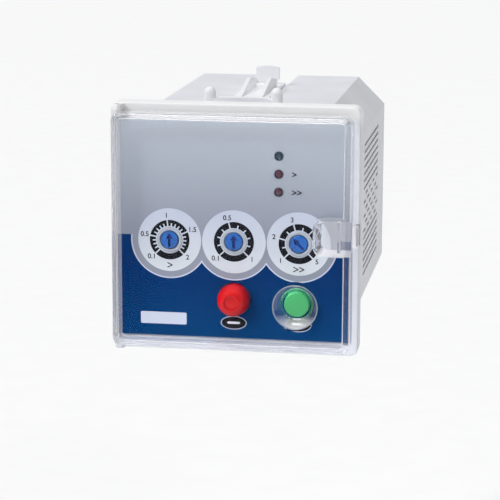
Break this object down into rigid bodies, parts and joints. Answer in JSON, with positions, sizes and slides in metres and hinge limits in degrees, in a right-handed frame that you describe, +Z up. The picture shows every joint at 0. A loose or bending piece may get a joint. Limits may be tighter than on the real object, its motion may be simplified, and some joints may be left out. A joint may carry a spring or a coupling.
{
  "type": "protection relay",
  "caption": "Panel-mounted protection relay with a hinged clear cover over rotary settings, lamps and push buttons, in an octagonal vented case with sliding clips.",
  "frame": {"origin": "centre of the square panel cut-out, on the plane where the back of the flange meets the panel", "axes": "+X to the right seen from the front, +Y back into the panel, +Z up"},
  "size_m": [0.096, 0.141, 0.1064],
  "materials": {
    "black_moulding": "matt",
    "button_green": "gloss",
    "button_red": "gloss",
    "capacitor_sleeve": "sleeve",
    "circuit_board": "solder mask",
    "clear_moulding": "clear gloss",
    "collar_grey": "satin",
    "face_print": "satin print",
    "knob_blue": "satin",
    "lamination": "laminated",
    "lamp_green": "clear tinted",
    "lamp_red": "clear tinted",
    "relay_case": "satin",
    "steel": "bright",
    "white_moulding": "matt",
    "winding_tape": "tape",
    "zinc_plate": "plated"
  },
  "bodies": {
    "relay": {"board_link": "black_moulding", "body_case": "white_moulding", "capacitor_1": "capacitor_sleeve", "capacitor_2": "capacitor_sleeve", "control_chip": "black_moulding", "face_sheet": "face_print", "front_bezel": "white_moulding", "front_board": "circuit_board", "front_board_screw_1": "steel", "front_board_screw_2": "steel", "front_board_screw_3": "steel", "front_board_screw_4": "steel", "input_transformer_core": "lamination", "input_transformer_winding": "winding_tape", "main_board": "circuit_board", "output_relay_1": "relay_case", "output_relay_2": "relay_case", "rear_board": "circuit_board", "rear_panel": "white_moulding", "rear_panel_screw_1": "steel", "rear_panel_screw_2": "steel", "rear_panel_screw_3": "steel", "rear_panel_screw_4": "steel", "reset_button_spring": "steel", "reset_switch": "black_moulding", "status_lamp_1": "lamp_green", "status_lamp_2": "lamp_red", "status_lamp_3": "lamp_red", "supply_transformer_core": "lamination", "supply_transformer_winding": "winding_tape", "terminal_block_lower": "black_moulding", "terminal_block_upper": "black_moulding", "terminal_lower_1": "zinc_plate", "terminal_lower_2": "zinc_plate", "terminal_lower_3": "zinc_plate", "terminal_lower_4": "zinc_plate", "terminal_lower_5": "zinc_plate", "terminal_lower_6": "zinc_plate", "terminal_lower_7": "zinc_plate", "terminal_upper_1": "zinc_plate", "terminal_upper_2": "zinc_plate", "terminal_upper_3": "zinc_plate", "terminal_upper_4": "zinc_plate", "terminal_upper_5": "zinc_plate", "terminal_upper_6": "zinc_plate", "terminal_upper_7": "zinc_plate", "test_button_spring": "steel", "test_switch": "black_moulding", "trimmer_body_1": "collar_grey", "trimmer_body_2": "collar_grey", "trimmer_body_3": "collar_grey"},
    "cover": {"clear_cover": "clear_moulding"},
    "test_button": {"test_button": "button_red"},
    "reset_button": {"reset_button": "button_green"},
    "knob_1": {"setting_knob_1": "knob_blue"},
    "knob_2": {"setting_knob_2": "knob_blue"},
    "knob_3": {"setting_knob_3": "knob_blue"},
    "upper_clip": {"upper_clip": "white_moulding"},
    "lower_clip": {"lower_clip": "white_moulding"}
  },
  "joints": [
    {"name": "cover_hinge", "type": "hinge", "parent": "relay", "child": "cover", "pos_m": [-0.0444, -0.0108, 0], "axis": [0, 0, -1], "range_deg": [0, 95]},
    {"name": "test_button_push", "type": "slide", "parent": "relay", "child": "test_button", "axis": [0, 1, 0], "range_m": [0, 0.0015], "stiffness_N_per_m": 400, "springref_m": -0.001, "deforming": ["test_button_spring"]},
    {"name": "reset_button_push", "type": "slide", "parent": "relay", "child": "reset_button", "axis": [0, 1, 0], "range_m": [0, 0.0015], "stiffness_N_per_m": 400, "springref_m": -0.001, "deforming": ["reset_button_spring"]},
    {"name": "knob_1_turn", "type": "hinge", "parent": "relay", "child": "knob_1", "pos_m": [-0.025, -0.0096, -0.0047], "axis": [0, 1, 0], "range_deg": [-135, 135]},
    {"name": "knob_2_turn", "type": "hinge", "parent": "relay", "child": "knob_2", "pos_m": [0, -0.0096, -0.0047], "axis": [0, 1, 0], "range_deg": [-135, 135]},
    {"name": "knob_3_turn", "type": "hinge", "parent": "relay", "child": "knob_3", "pos_m": [0.025, -0.0096, -0.0047], "axis": [0, 1, 0], "range_deg": [-90, 180]},
    {"name": "upper_clip_slide", "type": "slide", "parent": "relay", "child": "upper_clip", "axis": [0, 1, 0], "range_m": [-0.0096, 0.038]},
    {"name": "lower_clip_slide", "type": "slide", "parent": "relay", "child": "lower_clip", "axis": [0, 1, 0], "range_m": [-0.0096, 0.038]}
  ]
}
